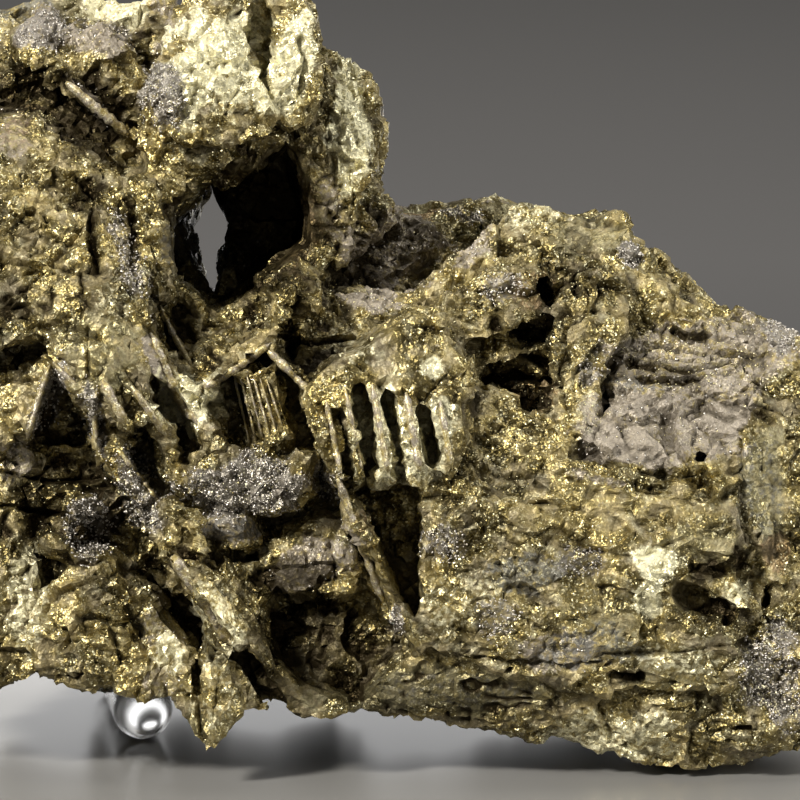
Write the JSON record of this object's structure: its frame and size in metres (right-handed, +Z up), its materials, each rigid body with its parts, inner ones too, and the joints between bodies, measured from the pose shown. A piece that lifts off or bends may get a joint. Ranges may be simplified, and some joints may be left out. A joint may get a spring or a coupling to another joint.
{
  "type": "arsenopyrite specimen",
  "caption": "Rough brassy specimen of arsenopyrite with slotted crystal plates and a hollow right through it, propped level on a short clear rod.",
  "frame": {"origin": "on the surface that the specimen rests on, under the middle of its bounding box", "axes": "+X along the length of the specimen, to the right as its front is seen, +Y from the front to the back, +Z up"},
  "size_m": [0.1686, 0.1024, 0.1249],
  "materials": {
    "stone": "brassy metallic sulphide, striated and granular, with silvery and brown patches",
    "clear_rod": "polished clear acrylic"
  },
  "bodies": {
    "root": {"arsenopyrite": "stone", "display_rod": "clear_rod"}
  },
  "joints": []
}
